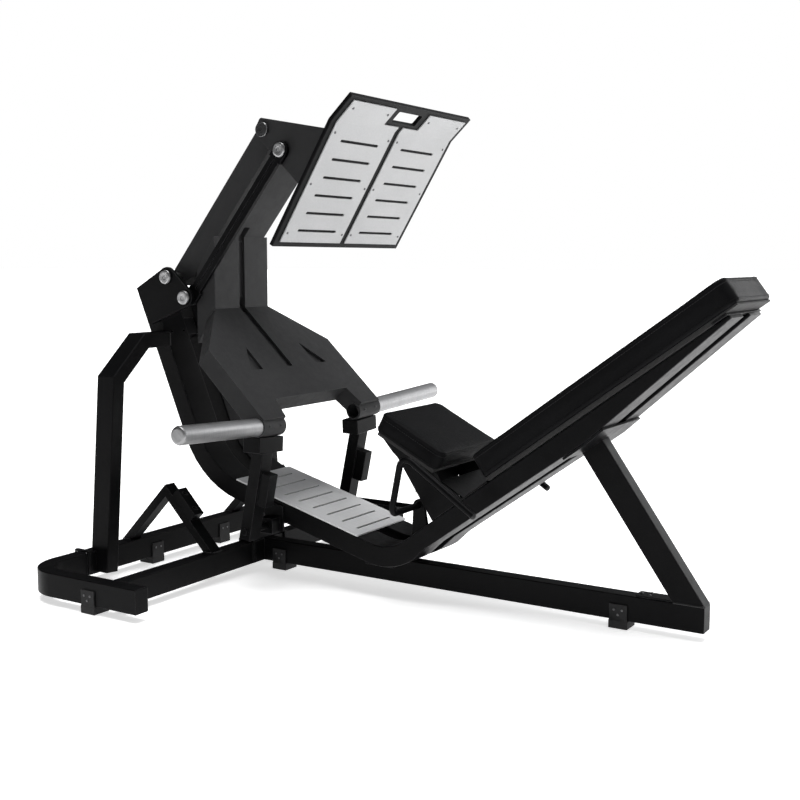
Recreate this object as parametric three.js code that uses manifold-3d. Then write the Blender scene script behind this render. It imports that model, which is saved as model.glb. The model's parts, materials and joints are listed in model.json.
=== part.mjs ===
// Plate-loaded leg press with a four-bar foot carriage, modelled in millimetres.
// +X runs from the base loop to the head of the backrest, +Y to the sitter's right, +Z up.
import * as THREE from 'three';
import { RoundedBoxGeometry } from 'three/addons/geometries/RoundedBoxGeometry.js';
import { mergeVertices } from 'three/addons/utils/BufferGeometryUtils.js';
import Module from 'manifold-3d';

const wasm = await Module();
wasm.setup();

// ---- driving dimensions ----
const SHIFT_X = 95;            // puts the middle of the overall length on the origin
const GAP = 0.35;              // play left between pieces that touch
const FOOT_H = 22;
const BASE_W = 46;
const BASE_H = 68;
const BASE_Z0 = FOOT_H;
const BASE_Z1 = BASE_Z0 + BASE_H;
const FRONT_X = -974;          // middle of the front cross rail
const REAR_X = -655;           // middle of the rear cross rail
const HALF_BASE = 633;         // middle of each end tube
const LOOP_R = 97;             // corner radius of the base loops, on the tube middle
const LOOP_END_X = -551;
const SEAM_Y = 440;            // flanged joint of front rail and loop
const HUB_Y = 77;              // flanged joint of rear rail and hub
const SPINE_END = 744;
const RAIL_IN = 27;            // frame rails, inner and outer face from the middle plane
const RAIL_OUT = 127;
const RAIL_D = 58;
const RAIL_LOW_D = 51;          // rail depth along the backrest, where it starts
const BACK_ANGLE = 36.1;
const STEP_ANGLE = 15.1;
const STEP_SLOT = 172;
const STEP_PITCH = 53.4;
const MAIN_PIN = [-881, 889];       // X, Z of the four fixed and moving pivots
const LINK_VEC = [71, -61];
const ARM_VEC = [345, 418];
const ARM_HALF = 110;
const YOKE_HALF = 125;
const CARRIAGE_IN = 112;
const CARRIAGE_OUT = 124;
const LINK_IN = 126;
const LINK_OUT = 138;
const BOX_IN = 152;
const BOX_OUT = 164;
const PIN_R = 12.5;
const PIN_PLAY = 0.5;
const HEAD_R = 21;
const HEAD_T = 8;
const EYE_R = 27;
const HORN_R = 25;
const HORN_LENGTH = 337;
const HORN_TILT = 4.9;         // rise of each horn out of the plane of the fork, degrees
const BOSS_AT = [423.5, 240, -36.6];   // middle of each boss in the fork plane: down, across, out
const BOSS_R = 28;
const BOSS_BORE_R = 22;
const BOSS_LENGTH = 108;
const PLATE_HALF = 309;        // half the width of the foot plate
const STOP_PIVOT = [-507, 173];
const STOP_Y = 240;
const STOP_LEAN = 11.8;
const STOP_SHAFT_R = 10;
const RELEASE_SHAFT = [-43, 269];
const RELEASE_R = 9;
const CRANK_LENGTH = 40;
const GRIP_Y = 221;
const PAD_HALF = 150;
const PAD_T = 68;

// ---- finishes ----
function paint(colour, roughness, metalness) {
  return new THREE.MeshStandardMaterial({ color: colour, roughness, metalness });
}
const frameBlack = paint(0x141416, 0.42, 0.25);
const yokeGrey = paint(0x3a3a3c, 0.5, 0.25);
const satinSteel = paint(0xb9babc, 0.32, 0.95);
const pinSteel = paint(0xa8aaac, 0.3, 0.9);
const panelGrey = paint(0xc9cacb, 0.5, 0.4);
const stepAlloy = paint(0xb4b6b8, 0.38, 0.85);
const padBlack = paint(0x17171a, 0.6, 0.0);
const boardBlack = paint(0x1c1c1e, 0.7, 0.0);
const rubber = paint(0x101011, 0.85, 0.0);

const group = new THREE.Group();
group.name = 'leg_press_machine';
const machine = new THREE.Group();
machine.name = 'machine_axes';
machine.position.x = SHIFT_X;
group.add(machine);

// ---- solid helpers ----
function toSolid(geometry) {
  const clean = geometry.clone();
  clean.deleteAttribute('normal');
  clean.deleteAttribute('uv');
  const merged = mergeVertices(clean, 1e-3);
  const solid = new wasm.Mesh({
    numProp: 3,
    vertProperties: new Float32Array(merged.attributes.position.array),
    triVerts: new Uint32Array(merged.index.array),
  });
  return new wasm.Manifold(solid);
}

function toGeometry(solid) {
  const mesh = solid.getMesh();
  const geometry = new THREE.BufferGeometry();
  geometry.setAttribute('position', new THREE.BufferAttribute(new Float32Array(mesh.vertProperties), 3));
  geometry.setIndex(new THREE.BufferAttribute(new Uint32Array(mesh.triVerts), 1));
  return geometry;
}

function add(name, geometry, material) {
  const flat = geometry.index ? geometry.toNonIndexed() : geometry;
  flat.computeVertexNormals();
  const mesh = new THREE.Mesh(flat, material);
  mesh.name = name;
  machine.add(mesh);
  return mesh;
}

function join(pieces, cuts = []) {
  let solid = toSolid(pieces[0]);
  for (const piece of pieces.slice(1)) {
    solid = solid.add(toSolid(piece));
  }
  for (const cut of cuts) {
    solid = solid.subtract(toSolid(cut));
  }
  return toGeometry(solid);
}

// ---- shape helpers ----
function outline(points) {
  return new THREE.Shape(points.map(([a, b]) => new THREE.Vector2(a, b)));
}

function slab(shape, depth, bevel) {
  const options = { depth: depth - 2 * bevel, steps: 1, curveSegments: 12, bevelEnabled: bevel > 0 };
  if (bevel > 0) {
    options.bevelThickness = bevel;
    options.bevelSize = bevel;
    options.bevelOffset = -bevel;
    options.bevelSegments = 2;
  }
  const geometry = new THREE.ExtrudeGeometry(shape, options);
  geometry.translate(0, 0, bevel);
  return geometry;
}

// an X-Z outline given thickness from y0 to y1
function sideSlab(points, y0, y1, bevel = 0) {
  const shape = Array.isArray(points) ? outline(points) : points;
  const geometry = slab(shape, y1 - y0, bevel);
  geometry.rotateX(Math.PI / 2);
  geometry.translate(0, y1, 0);
  return geometry;
}

// an X-Y outline given thickness from z0 to z1
function planSlab(points, z0, z1, bevel = 0) {
  const geometry = slab(outline(points), z1 - z0, bevel);
  geometry.translate(0, 0, z0);
  return geometry;
}

// a Y-Z outline given thickness from x0 to x1
function crossSlab(points, x0, x1, bevel = 0) {
  const geometry = slab(outline(points), x1 - x0, bevel);
  geometry.rotateX(Math.PI / 2);
  geometry.rotateZ(Math.PI / 2);
  geometry.translate(x0, 0, 0);
  return geometry;
}

function box(x0, x1, y0, y1, z0, z1) {
  const geometry = new THREE.BoxGeometry(x1 - x0, y1 - y0, z1 - z0);
  geometry.translate((x0 + x1) / 2, (y0 + y1) / 2, (z0 + z1) / 2);
  return geometry;
}

// a shaft along Y with softened ends
function shaft(x, z, y0, y1, radius, chamfer = 1, segments = 32) {
  const profile = [
    [0, y0],
    [radius - chamfer, y0],
    [radius, y0 + chamfer],
    [radius, y1 - chamfer],
    [radius - chamfer, y1],
    [0, y1],
  ];
  const geometry = new THREE.LatheGeometry(profile.map(([r, h]) => new THREE.Vector2(r, h)), segments);
  geometry.translate(x, 0, z);
  return geometry;
}

function polar(length, degrees) {
  const angle = THREE.MathUtils.degToRad(degrees);
  return [length * Math.cos(angle), length * Math.sin(angle)];
}

function plus(a, b, scale = 1) {
  return [a[0] + b[0] * scale, a[1] + b[1] * scale];
}

function unit(a, b) {
  const length = Math.hypot(b[0] - a[0], b[1] - a[1]);
  return [(b[0] - a[0]) / length, (b[1] - a[1]) / length];
}

// outline of a bar of constant depth that follows corner points, each with its bend radius
function bar(corners, depth, radii = []) {
  const left = [];
  const right = [];
  const half = depth / 2;
  const count = corners.length;
  for (let i = 0; i < count; i += 1) {
    if (i === 0 || i === count - 1) {
      const d = i === 0 ? unit(corners[0], corners[1]) : unit(corners[count - 2], corners[count - 1]);
      left.push(plus(corners[i], [-d[1], d[0]], half));
      right.push(plus(corners[i], [-d[1], d[0]], -half));
      continue;
    }
    const d0 = unit(corners[i - 1], corners[i]);
    const d1 = unit(corners[i], corners[i + 1]);
    const turn = Math.atan2(d0[0] * d1[1] - d0[1] * d1[0], d0[0] * d1[0] + d0[1] * d1[1]);
    const radius = radii[i - 1] || 0;
    if (radius === 0) {
      const miter = half / Math.cos(turn / 2);
      const across = unit([0, 0], [-d0[1] - d1[1], d0[0] + d1[0]]);
      left.push(plus(corners[i], across, miter));
      right.push(plus(corners[i], across, -miter));
      continue;
    }
    const side = Math.sign(turn);
    const start = plus(corners[i], d0, -radius * Math.tan(Math.abs(turn) / 2));
    const centre = plus(start, [-d0[1] * side, d0[0] * side], radius);
    const steps = Math.max(4, Math.round(Math.abs(turn) / 0.13));
    for (let k = 0; k <= steps; k += 1) {
      const heading = Math.atan2(d0[1], d0[0]) + (turn * k) / steps;
      const normal = [-Math.sin(heading), Math.cos(heading)];
      const on = plus(centre, normal, -side * radius);
      left.push(plus(on, normal, half));
      right.push(plus(on, normal, -half));
    }
  }
  return [...left, ...right.reverse()];
}

// lays a shape on a sloping plane: its x runs along d, its y stays lateral, its z leaves the plane
function layOn(geometry, origin, d) {
  const place = new THREE.Matrix4().makeBasis(
    new THREE.Vector3(d[0], 0, d[1]),
    new THREE.Vector3(0, 1, 0),
    new THREE.Vector3(-d[1], 0, d[0]),
  );
  place.setPosition(origin[0], 0, origin[1]);
  geometry.applyMatrix4(place);
  return geometry;
}

function roundedBox(length, width, height, radius, segments = 3) {
  return new RoundedBoxGeometry(length, width, height, segments, radius);
}

// outer hull of two circles with straight flanks, as used for links and lugs
function linkOutline(a, b, ra, rb, steps = 12) {
  const d = unit(a, b);
  const base = Math.atan2(d[1], d[0]);
  const lean = Math.acos((ra - rb) / Math.hypot(b[0] - a[0], b[1] - a[1]));
  const points = [];
  for (let k = 0; k <= steps; k += 1) {
    const angle = base - lean + (2 * lean * k) / steps;
    points.push(plus(b, [Math.cos(angle), Math.sin(angle)], rb));
  }
  for (let k = 0; k <= steps; k += 1) {
    const angle = base + lean + ((2 * Math.PI - 2 * lean) * k) / steps;
    points.push(plus(a, [Math.cos(angle), Math.sin(angle)], ra));
  }
  return points;
}

const SIDES = [['left', -1], ['right', 1]];

// span between two distances from the middle plane, on one side
function span(side, near, far) {
  return side < 0 ? [-far, -near] : [near, far];
}

// ---- base ----
function baseFlange(y0, y1, x) {
  return box(x - 29, x + 29, y0, y1, BASE_Z0 + 3, BASE_Z1 + 7);
}

function base() {
  const x0 = FRONT_X - BASE_W / 2;
  const x1 = FRONT_X + BASE_W / 2;
  const frontTube = planSlab([[x0, -SEAM_Y], [x1, -SEAM_Y], [x1, SEAM_Y], [x0, SEAM_Y]], BASE_Z0, BASE_Z1, 3);
  const frontFlanges = [baseFlange(-SEAM_Y, 6 - SEAM_Y, FRONT_X), baseFlange(SEAM_Y - 6, SEAM_Y, FRONT_X)];
  add('front_cross_rail', join([frontTube, ...frontFlanges]), frameBlack);

  const r0 = REAR_X - BASE_W / 2;
  const r1 = REAR_X + BASE_W / 2;
  const hub = planSlab([[r0, -HUB_Y], [r1, -HUB_Y], [r1, HUB_Y], [r0, HUB_Y]], BASE_Z0, BASE_Z1, 3);
  const hubFlanges = [baseFlange(-HUB_Y, 6 - HUB_Y, REAR_X), baseFlange(HUB_Y - 6, HUB_Y, REAR_X)];
  const half = BASE_W / 2;
  const spineEnds = [[r1 - 4, -half], [SPINE_END, -half], [SPINE_END, half], [r1 - 4, half]];
  const spine = planSlab(spineEnds, BASE_Z0, BASE_Z1, 3);
  add('spine', join([hub, ...hubFlanges, spine]), frameBlack);

  for (const [name, side] of SIDES) {
    const start = SEAM_Y + GAP;
    const path = [[FRONT_X, side * start], [FRONT_X, side * HALF_BASE], [LOOP_END_X, side * HALF_BASE]];
    const tube = planSlab(bar(path, BASE_W, [LOOP_R]), BASE_Z0, BASE_Z1, 3);
    const [f0, f1] = span(side, start, start + 6);
    add(`loop_tube_${name}`, join([tube, baseFlange(f0, f1, FRONT_X)]), frameBlack);

    const [y0, y1] = span(side, HUB_Y + GAP, HALF_BASE - half - GAP);
    const rail = planSlab([[r0, y0], [r1, y0], [r1, y1], [r0, y1]], BASE_Z0, BASE_Z1, 3);
    const [g0, g1] = span(side, HUB_Y + GAP, HUB_Y + GAP + 6);
    add(`rear_cross_rail_${name}`, join([rail, baseFlange(g0, g1, REAR_X)]), frameBlack);
  }
}

// a rubber block under a tube with a bolted cheek on one flank
function foot(name, x, y, wide, cheek) {
  const block = roundedBox(cheek.alongX ? 52 : 56, wide, FOOT_H - GAP, 2, 1);
  block.translate(x, y, (FOOT_H - GAP) / 2);
  const outward = Math.sign(cheek.at - (cheek.alongX ? y : x));
  const near = Math.min(cheek.at, cheek.at + 4 * outward);
  const plate = cheek.alongX
    ? box(x - 24, x + 24, near, near + 4, FOOT_H - 6, FOOT_H + 42)
    : box(near, near + 4, y - 24, y + 24, FOOT_H - 6, FOOT_H + 42);
  add(`foot_${name}`, join([block, plate]), rubber);
}

function feet() {
  const half = BASE_W / 2;
  for (const [name, side] of SIDES) {
    const outer = side * (HALF_BASE + half + GAP);
    foot(`loop_${name}`, -724, side * HALF_BASE, 56, { alongX: true, at: outer });
    foot(`front_${name}`, FRONT_X, side * 158, 52, { alongX: false, at: FRONT_X + half + GAP });
  }
  foot('spine_front', -573, 0, 56, { alongX: true, at: -half - GAP });
  foot('spine_rear', 521, 0, 56, { alongX: true, at: -half - GAP });
}

// ---- side posts and weight brackets ----
function sidePosts() {
  const face = FRONT_X + BASE_W / 2 + GAP;
  for (const [name, side] of SIDES) {
    const path = [[side * 393, 27], [side * 345, 592], [side * 227, 699], [side * (RAIL_OUT + GAP), 699]];
    const tube = crossSlab(bar(path, 44), face + 46 - BASE_H, face + 46, 3);
    const seat = box(face - 60, face, ...span(side, 340, 430), 0, BASE_Z1 + GAP);
    add(`side_post_${name}`, join([tube], [seat]), frameBlack);
  }
}

function weightBrackets() {
  const tube = 26;
  const apex = [-819, 276 - tube / Math.SQRT2];
  const foot0 = [-986, 86];
  const foot1 = [-651, 85];
  for (const [name, side] of SIDES) {
    const [y0, y1] = span(side, 216, 257);
    const ends = [plus(foot0, unit(apex, foot0), 24), plus(foot1, unit(apex, foot1), 24)];
    const legs = sideSlab(bar([ends[0], apex, ends[1]], tube), y0, y1, 2);
    const below = box(-1100, -500, y0 - 1, y1 + 1, 0, BASE_Z1 + GAP);
    const slope = unit(apex, foot1);
    const normal = [-slope[1], slope[0]];
    const start = plus(plus(apex, slope, 27), normal, tube / 2 - 2);
    const stop = plus(start, slope, 98);
    const blockSide = [start, stop, plus(stop, normal, 30), plus(start, normal, 30)];
    const pad = sideSlab(blockSide, y0 + 0.5, y1 - 0.5, 1.5);
    const holes = [20, 76].map((along) => {
      const hole = new THREE.CylinderGeometry(5, 5, 24, 20);
      hole.rotateZ(Math.atan2(normal[1], normal[0]) - Math.PI / 2);
      const at = plus(plus(start, slope, along), normal, 30);
      hole.translate(at[0], (y0 + y1) / 2, at[1]);
      return hole;
    });
    add(`weight_bracket_${name}`, join([legs, pad], [below, ...holes]), frameBlack);
  }
}

// ---- main frame rails ----
const RAIL_TOP = [-1003.6, 833];
const RAIL_BEND_LOW = [-773.8, 287.6];
const RAIL_BEND_SEAT = [-107.45, 107.83];
const BACK_DIR = polar(1, BACK_ANGLE);
const BACK_UP = [-BACK_DIR[1], BACK_DIR[0]];
const BACK_FROM = [196, 365];      // on the upper face of the rails, under the lower end of the backrest
const TAPER_FROM = 292;
const TAPER_D = 56;                // rail depth where the taper begins, then where it ends
const HEAD_D = 9;
const HEAD_AT = 762;

function onBack(along, above) {
  return plus(plus(BACK_FROM, BACK_DIR, along), BACK_UP, above);
}

// a strip lying along the backrest line
function backStrip(from, to, low, high) {
  return [onBack(from, low), onBack(to, low), onBack(to, high), onBack(from, high)];
}

function frameRails() {
  const straightEnd = onBack(TAPER_FROM, -RAIL_D / 2);
  const shape = bar([RAIL_TOP, RAIL_BEND_LOW, RAIL_BEND_SEAT, straightEnd], RAIL_D, [270, 150]);
  const head = [onBack(HEAD_AT, 0), onBack(HEAD_AT, -HEAD_D)];
  const low = [onBack(TAPER_FROM, -TAPER_D), onBack(-270, -RAIL_LOW_D)];
  const middle = shape.length / 2;
  const points = [...shape.slice(0, middle), ...head, ...low, ...shape.slice(middle + 1)];
  for (const [name, side] of SIDES) {
    const [y0, y1] = span(side, RAIL_IN, RAIL_OUT);
    const holes = [45, 98].map((across) => {
      const hole = new THREE.CylinderGeometry(4.5, 4.5, 16, 16);
      hole.rotateX(Math.PI / 2);
      hole.translate(134, side * across, RAIL_D / 2);
      return layOn(hole, RAIL_TOP, unit(RAIL_TOP, RAIL_BEND_LOW));
    });
    add(`frame_rail_${name}`, join([sideSlab(points, y0, y1, 4)], holes), frameBlack);
  }
  const plate = backStrip(HEAD_AT - 40, HEAD_AT, GAP, 6);
  add('head_cross_plate', sideSlab(plate, -142, 142, 1), frameBlack);
}

function rearBrace() {
  const floorT = 6;
  const tube = sideSlab(bar([[430, 480], [724, 60]], BASE_H), -BASE_W / 2, BASE_W / 2, 3);
  const low = box(500, 900, -40, 40, 0, BASE_Z1 + GAP);
  const under = -TAPER_D - floorT - 2 * GAP;
  const high = sideSlab(backStrip(0, 700, under, 100), -40, 40);
  const sole = box(565, 716, -20, 20, BASE_Z1 - 5, BASE_Z1 + 6);
  add('rear_brace', join([tube, sole], [low, high]), frameBlack);
  const middle = -TAPER_D - GAP - floorT / 2;
  const rise = (TAPER_D - HEAD_D) / (HEAD_AT - TAPER_FROM);
  const line = [onBack(216, middle), onBack(TAPER_FROM, middle), onBack(TAPER_FROM + 58, middle + 58 * rise)];
  add('saddle', sideSlab(bar(line, floorT), -RAIL_OUT, RAIL_OUT, 0.8), frameBlack);
}

base();
feet();
sidePosts();
weightBrackets();
frameRails();
rearBrace();

// ---- step plate ----
function stepPlate() {
  const dir = polar(1, -STEP_ANGLE);
  const up = [-dir[1], dir[0]];
  const end = plus([-215, 168], up, GAP);
  const length = 452;
  const start = plus(end, dir, -length);
  const skin = sideSlab([start, end, plus(end, up, 4), plus(start, up, 4)], -129, 129);
  const slots = [];
  for (let k = 0; k < 8; k += 1) {
    const at = plus(end, dir, -32.5 - STEP_PITCH * k);
    const slot = roundedBox(7, STEP_SLOT, 20, 3.4, 2);
    slot.rotateY(THREE.MathUtils.degToRad(STEP_ANGLE));
    slot.translate(at[0], 0, at[1]);
    slots.push(slot);
  }
  add('step_plate', join([skin], slots), stepAlloy);
}

// ---- pivot box on top of the uprights ----
const LINK_PIN = plus(MAIN_PIN, LINK_VEC);
const CARRIAGE_PIN = plus(MAIN_PIN, ARM_VEC);
const LINK_TOP_PIN = plus(LINK_PIN, ARM_VEC);

function pivotBox() {
  const up = polar(1, 113.1);
  const ahead = polar(1, 23.1);
  const corner = [-958, 742];
  const back = plus(corner, up, 122);
  const low = plus(corner, ahead, 128);
  const cheek = [corner, low, ...linkOutline(MAIN_PIN, LINK_PIN, 30, 28, 8), back];
  const hull = convexOutline(cheek);
  for (const [name, side] of SIDES) {
    const [y0, y1] = span(side, BOX_IN, BOX_OUT);
    const plate = sideSlab(hull, y0, y1, 1.5);
    const [s0, s1] = span(side, RAIL_OUT + GAP, BOX_IN + 1);
    const inner = plus(corner, ahead, 12);
    const blockSide = [plus(corner, up, 6), plus(inner, up, 6), plus(inner, up, 96), plus(corner, up, 96)];
    const block = sideSlab(blockSide, s0, s1);
    const bores = [MAIN_PIN, LINK_PIN].map(([x, z]) => shaft(x, z, y0 - 2, y1 + 2, PIN_R + GAP, 0.5));
    add(`pivot_cheek_${name}`, join([plate, block], bores), frameBlack);
  }
  const top = plus(RAIL_TOP, unit(RAIL_BEND_LOW, RAIL_TOP), GAP);
  const lidEnds = [plus(top, ahead, -29), plus(top, ahead, 29)];
  const lid = [lidEnds[0], lidEnds[1], plus(lidEnds[1], up, 6), plus(lidEnds[0], up, 6)];
  add('upright_top_plate', sideSlab(lid, -RAIL_OUT, RAIL_OUT, 1), frameBlack);
}

// smallest convex outline around a set of points
function convexOutline(points) {
  const sorted = [...points].sort((a, b) => a[0] - b[0] || a[1] - b[1]);
  const turn = (o, a, b) => (a[0] - o[0]) * (b[1] - o[1]) - (a[1] - o[1]) * (b[0] - o[0]);
  const half = (list) => {
    const chain = [];
    for (const point of list) {
      while (chain.length > 1 && turn(chain[chain.length - 2], chain[chain.length - 1], point) <= 0) {
        chain.pop();
      }
      chain.push(point);
    }
    chain.pop();
    return chain;
  };
  return [...half(sorted), ...half(sorted.reverse())];
}

// a shaft with a wide thin head at each end, each at its own reach from the middle plane
function headedPin(name, [x, z], reach, farReach = reach, thick = HEAD_T) {
  const body = shaft(x, z, -reach - 3, farReach + 3, PIN_R);
  const heads = [
    shaft(x, z, ...span(-1, reach, reach + thick), HEAD_R, 1.5),
    shaft(x, z, ...span(1, farReach, farReach + thick), HEAD_R, 1.5),
  ];
  add(name, join([body, ...heads]), pinSteel);
}

const FORK_TOP = [-723, 795];
const FORK_END = [-411, 500];

// ---- lever: arm, drop section and fork in one weldment ----
function lever() {
  const along = unit(MAIN_PIN, CARRIAGE_PIN);
  const off = [-along[1], along[0]];
  const armLow = -45;
  const p = MAIN_PIN;
  const q = CARRIAGE_PIN;
  const armPoints = [
    ...arcPoints(p, EYE_R, off, plus([0, 0], along, -1)),
    plus(p, off, -EYE_R),
    plus(plus(p, along, 40), off, armLow),
    plus(plus(q, along, -60), off, armLow),
    ...arcPoints(q, EYE_R, plus([0, 0], off, -1), along),
    plus(q, off, EYE_R),
  ];
  const arm = sideSlab(armPoints, -ARM_HALF, ARM_HALF, 2);
  const dropSide = [[-724, 1010], [-724, 794], [-752, 752], [-796, 690], [-796, 905]];
  const drop = sideSlab(dropSide, -YOKE_HALF, YOKE_HALF, 2);
  const forkDir = unit(FORK_TOP, FORK_END);
  const forkHalf = [[-2, YOKE_HALF], [156, 287], [426, 290], [426, 190], [360, 175]];
  const forkPlan = [...forkHalf, ...forkHalf.map(([s, y]) => [s, -y]).reverse()];
  const thick = 58;
  const forkSlab = layOn(planSlab(forkPlan, -thick, 0, 2), FORK_TOP, forkDir);
  const half = BOSS_LENGTH / 2;
  const bosses = SIDES.map(([, side]) => onBoss(shaft(0, 0, -half, half, BOSS_R, 2), side));
  const cuts = [];
  for (const [, side] of SIDES) {
    const pocket = planSlab([[158, side * 126], [248, side * 128], [248, side * 184]], -9, 6);
    cuts.push(layOn(pocket, FORK_TOP, forkDir));
    cuts.push(onBoss(shaft(0, 0, -half - 3, half + 3, BOSS_BORE_R, 0.5), side));
    cuts.push(onBoss(box(-40, 60, half, half + 60, -60, 60), side));
    cuts.push(onBoss(box(BOSS_R, 60, -half - 20, half, -60, 60), side));
  }
  const groove = planSlab([[-30, -13], [248, -13], [248, 13], [-30, 13]], -10, 30);
  cuts.push(layOn(groove, FORK_TOP, forkDir));
  cuts.push(box(-734, -700, -13, 13, 780, 1060));
  const bore = [p, q].map(([x, z]) => shaft(x, z, -ARM_HALF - 2, ARM_HALF + 2, PIN_R + PIN_PLAY, 0.5));
  add('lever', join([arm, drop, forkSlab, ...bosses], [...cuts, ...bore]), yokeGrey);
}

// places a piece drawn along Y, outward, on the axis of one boss
function onBoss(geometry, side) {
  const copy = side < 0 ? mirrorY(geometry) : geometry.clone();
  copy.rotateX(THREE.MathUtils.degToRad(side * HORN_TILT));
  copy.translate(BOSS_AT[0], side * BOSS_AT[1], BOSS_AT[2]);
  return layOn(copy, FORK_TOP, unit(FORK_TOP, FORK_END));
}

// points of an arc about a centre, from one unit direction to the opposite one by way of a third
function arcPoints(centre, radius, from, by, steps = 10) {
  const points = [];
  for (let k = 0; k <= steps; k += 1) {
    const angle = (Math.PI * k) / steps;
    const c = Math.cos(angle);
    const w = Math.sin(angle);
    points.push(plus(plus(centre, from, radius * c), by, radius * w));
  }
  return points.slice(0, -1);
}

function horns() {
  const end = HORN_LENGTH;
  const profile = [
    [0, 0], [HORN_R, 0], [HORN_R, end - 9], [HORN_R - 2.5, end - 3], [HORN_R - 9, end], [0, end],
  ];
  for (const [name, side] of SIDES) {
    const tube = new THREE.LatheGeometry(profile.map(([r, h]) => new THREE.Vector2(r, h)), 40);
    const stub = shaft(0, 0, -62, 1, BOSS_BORE_R - GAP, 1);
    const horn = join([tube, stub]);
    horn.translate(0, BOSS_LENGTH / 2 + GAP, 0);
    add(`weight_horn_${name}`, onBoss(horn, side), satinSteel);
  }
}

function frontLink() {
  const [y0, y1] = span(-1, LINK_IN, LINK_OUT);
  const body = sideSlab(linkOutline(LINK_PIN, LINK_TOP_PIN, 24, 24, 10), y0, y1, 1.5);
  const eyes = [LINK_PIN, LINK_TOP_PIN].map(([x, z]) => shaft(x, z, y0 - 2, y1 + 2, PIN_R + PIN_PLAY, 0.5));
  add('front_link', join([body], [...eyes, ...linkWaist().map(mirrorY)]), frameBlack);
}

// slims the link between its eyes and sinks a shallow groove along its outer face
function linkWaist() {
  const d = unit(LINK_PIN, LINK_TOP_PIN);
  const n = [-d[1], d[0]];
  const from = plus(LINK_PIN, d, 34);
  const to = plus(LINK_TOP_PIN, d, -34);
  const strip = (low, high) => [plus(from, n, low), plus(to, n, low), plus(to, n, high), plus(from, n, high)];
  const strips = [-1, 1].map((w) => sideSlab(strip(w * 18, w * 40), LINK_IN - 9, LINK_OUT + 9));
  const groove = sideSlab(strip(-3, 3), LINK_OUT - 3, LINK_OUT + 5);
  return [...strips, groove];
}

// mirror image across the middle plane, with its faces turned back outward
function mirrorY(geometry) {
  const copy = geometry.index ? geometry.toNonIndexed() : geometry.clone();
  copy.scale(1, -1, 1);
  const position = copy.attributes.position;
  for (let i = 0; i < position.count; i += 3) {
    const x = position.getX(i + 1);
    const y = position.getY(i + 1);
    const z = position.getZ(i + 1);
    position.setXYZ(i + 1, position.getX(i + 2), position.getY(i + 2), position.getZ(i + 2));
    position.setXYZ(i + 2, x, y, z);
  }
  copy.deleteAttribute('normal');
  copy.deleteAttribute('uv');
  copy.computeVertexNormals();
  return copy;
}

// ---- foot carriage ----
const PLATE_LOW = [-362, 975];
const PLATE_KINK = [-166, 1290];
const PLATE_TOP = [-101, 1349.5];
const FRAME_T = 12;

function carriage() {
  const d = unit(PLATE_LOW, PLATE_KINK);
  const back = [-d[1], d[0]];
  const onPlate = (s) => plus(plus(PLATE_LOW, d, s), back, FRAME_T + 0.4);
  const q = CARRIAGE_PIN;
  const side = convexOutline([
    ...arcPoints(q, EYE_R, [0.64, -0.77], [-0.77, -0.64]),
    ...arcPoints(q, EYE_R, [-0.64, 0.77], [0.2, 0.98]),
    onPlate(96), onPlate(345),
  ]);
  const pieces = [];
  for (const [, sign] of SIDES) {
    pieces.push(sideSlab(side, ...span(sign, CARRIAGE_IN, CARRIAGE_OUT)));
  }
  const web = [onPlate(100), onPlate(341), plus(onPlate(341), back, 10), plus(onPlate(100), back, 10)];
  pieces.push(sideSlab(web, -CARRIAGE_OUT + 1, CARRIAGE_OUT - 1));
  const cuts = [q, LINK_TOP_PIN].map(([x, z], i) => shaft(
    x, z, -CARRIAGE_OUT - 2, CARRIAGE_OUT + 2, PIN_R + (i === 0 ? PIN_PLAY : GAP), 0.5));
  add('foot_carriage', join(pieces, cuts), yokeGrey);
}

function footPlate() {
  const half = FRAME_T / 2;
  const d1 = unit(PLATE_LOW, PLATE_KINK);
  const d2 = unit(PLATE_KINK, PLATE_TOP);
  const n1 = [-d1[1], d1[0]];
  const n2 = [-d2[1], d2[0]];
  const nKink = unit([0, 0], plus(n1, n2));
  const mid = [plus(PLATE_LOW, n1, half), plus(PLATE_KINK, nKink, half * 1.01), plus(PLATE_TOP, n2, half)];
  const frameBody = sideSlab(bar(mid, FRAME_T), -PLATE_HALF, PLATE_HALF, 2);
  const windowCut = layOn(roundedBox(37, 120, 80, 4, 2), plus(PLATE_KINK, d2, 48), d2);
  add('foot_plate_frame', join([frameBody], [windowCut]), frameBlack);

  const thick = 3;
  for (const [name, side] of SIDES) {
    const [y0, y1] = span(side, 12, 288);
    const line = (out) => [
      plus(plus(PLATE_LOW, d1, 16), n1, -out),
      plus(PLATE_KINK, nKink, -out),
      plus(plus(PLATE_KINK, d2, 76), n2, -out),
    ];
    const sheet = sideSlab([...line(GAP), ...line(GAP + thick).reverse()], y0, y1);
    const cuts = [];
    for (let k = 0; k < 6; k += 1) {
      const slot = layOn(roundedBox(8, 178, 20, 3.9, 2), plus(PLATE_LOW, d1, 53 + 54 * k), d1);
      slot.translate(0, side * 147, 0);
      cuts.push(slot);
    }
    const notch = layOn(roundedBox(90, 176, 30, 4, 2), plus(PLATE_KINK, d2, 64), d2);
    cuts.push(notch);
    add(`foot_panel_${name}`, join([sheet], cuts), panelGrey);
  }
}

stepPlate();
pivotBox();
headedPin('main_pin', MAIN_PIN, BOX_OUT + GAP);
headedPin('link_pin', LINK_PIN, BOX_OUT + GAP);
headedPin('carriage_pin', CARRIAGE_PIN, CARRIAGE_OUT + GAP);
headedPin('link_top_pin', LINK_TOP_PIN, LINK_OUT + GAP, CARRIAGE_OUT + GAP, 6);
lever();
horns();
frontLink();
carriage();
footPlate();

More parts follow.
